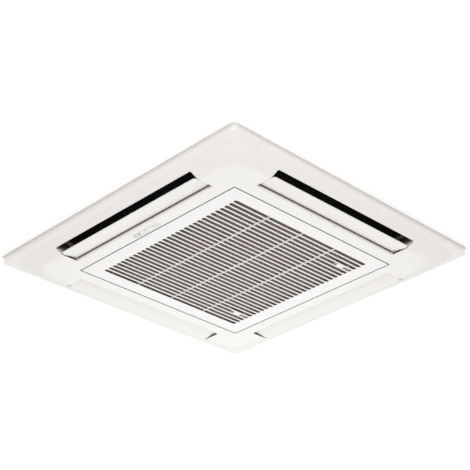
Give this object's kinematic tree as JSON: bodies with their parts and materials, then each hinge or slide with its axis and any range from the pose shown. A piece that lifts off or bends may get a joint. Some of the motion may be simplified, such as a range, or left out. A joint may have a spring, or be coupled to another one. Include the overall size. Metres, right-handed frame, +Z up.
{
  "type": "ceiling cassette air conditioner",
  "caption": "Square four-way ceiling air conditioner: a flat panel with a curved vane on each side, a slotted hinged grille and a steel cabinet above the ceiling.",
  "frame": {"origin": "middle of the panel in the plane of the ceiling", "axes": "+Z up into the ceiling void; the slots of the grille run along X; the grille is hinged on the -X side and latched on the +X side"},
  "size_m": [0.95, 0.95, 0.3045],
  "materials": {
    "fascia": "satin white moulding",
    "vane": "satin warm white moulding",
    "dark_foam": "matt dark foam",
    "pan_foam": "fine beaded foam",
    "steel": "zinc plated",
    "sheet_steel": "galvanised sheet",
    "lens": "pale window",
    "white_plastic": "satin",
    "dark_plastic": "matt",
    "net": "woven",
    "fins": "thin bright fins",
    "copper": "copper tube",
    "brass": "machined"
  },
  "bodies": {
    "cassette": {"fascia_panel": "fascia", "grille_frame": "fascia", "outlet_duct_xp": "dark_foam", "vane_motor_xp": "steel", "outlet_duct_yp": "dark_foam", "vane_motor_yp": "steel", "outlet_duct_xn": "dark_foam", "vane_motor_xn": "steel", "outlet_duct_yn": "dark_foam", "vane_motor_yn": "steel", "panel_screw_pp": "steel", "panel_screw_np": "steel", "panel_screw_nn": "steel", "panel_screw_pn": "steel", "receiver_lens": "lens", "receiver_board": "white_plastic", "duct_gasket": "dark_foam", "cabinet_top": "sheet_steel", "cabinet_side_xp": "sheet_steel", "cabinet_side_yp": "sheet_steel", "cabinet_side_xn": "sheet_steel", "cabinet_side_yn": "sheet_steel", "cabinet_corner_pp": "sheet_steel", "hanger_pp": "sheet_steel", "cabinet_corner_np": "sheet_steel", "hanger_np": "sheet_steel", "cabinet_corner_nn": "sheet_steel", "hanger_nn": "sheet_steel", "cabinet_corner_pn": "sheet_steel", "hanger_pn": "sheet_steel", "foam_liner": "dark_foam", "drain_pan": "pan_foam", "fresh_air_plug": "sheet_steel", "bell_mouth": "dark_plastic", "fan_motor": "steel", "motor_bracket": "sheet_steel", "heat_exchanger": "fins", "coil_header": "copper", "gas_pipe": "brass", "liquid_pipe": "brass", "pipe_cover": "sheet_steel", "drain_pump": "white_plastic", "drain_spigot": "dark_plastic", "control_box": "sheet_steel", "control_lid": "sheet_steel", "terminal_block": "dark_plastic"},
    "grille": {"intake_grille": "fascia"},
    "latch_n": {"latch_slide_n": "white_plastic"},
    "latch_p": {"latch_slide_p": "white_plastic"},
    "filter": {"filter_frame": "dark_plastic", "filter_net": "net"},
    "fan": {"fan_impeller": "white_plastic", "fan_shroud": "white_plastic", "fan_nut": "steel"},
    "float": {"drain_float": "white_plastic"},
    "vane_xp": {"vane_xp": "vane"},
    "vane_yp": {"vane_yp": "vane"},
    "vane_xn": {"vane_xn": "vane"},
    "vane_yn": {"vane_yn": "vane"}
  },
  "joints": [
    {"name": "grille_hinge", "type": "hinge", "parent": "cassette", "child": "grille", "pos_m": [-0.3, 0, -0.043], "axis": [0, 1, 0], "range_deg": [0, 90]},
    {"name": "latch_n_slide", "type": "slide", "parent": "grille", "child": "latch_n", "axis": [1, 0, 0], "range_m": [0, 0.006]},
    {"name": "latch_p_slide", "type": "slide", "parent": "grille", "child": "latch_p", "axis": [1, 0, 0], "range_m": [0, 0.006]},
    {"name": "filter_lift", "type": "slide", "parent": "grille", "child": "filter", "axis": [0, 0, 1], "range_m": [0, 0.014]},
    {"name": "vane_xp_swing", "type": "hinge", "parent": "cassette", "child": "vane_xp", "pos_m": [0.392, 0, -0.03], "axis": [0, 1, 0], "range_deg": [-12, 45]},
    {"name": "vane_yp_swing", "type": "hinge", "parent": "cassette", "child": "vane_yp", "pos_m": [0, 0.392, -0.03], "axis": [-1, 0, 0], "range_deg": [-12, 45]},
    {"name": "vane_xn_swing", "type": "hinge", "parent": "cassette", "child": "vane_xn", "pos_m": [-0.392, 0, -0.03], "axis": [0, -1, 0], "range_deg": [-12, 45]},
    {"name": "vane_yn_swing", "type": "hinge", "parent": "cassette", "child": "vane_yn", "pos_m": [0, -0.392, -0.03], "axis": [1, 0, 0], "range_deg": [-12, 45]},
    {"name": "fan_spin", "type": "hinge", "parent": "cassette", "child": "fan", "pos_m": [0, 0, 0.15], "axis": [0, 0, 1], "continuous": true},
    {"name": "float_rise", "type": "slide", "parent": "cassette", "child": "float", "axis": [0, 0, 1], "range_m": [0, 0.012]}
  ]
}
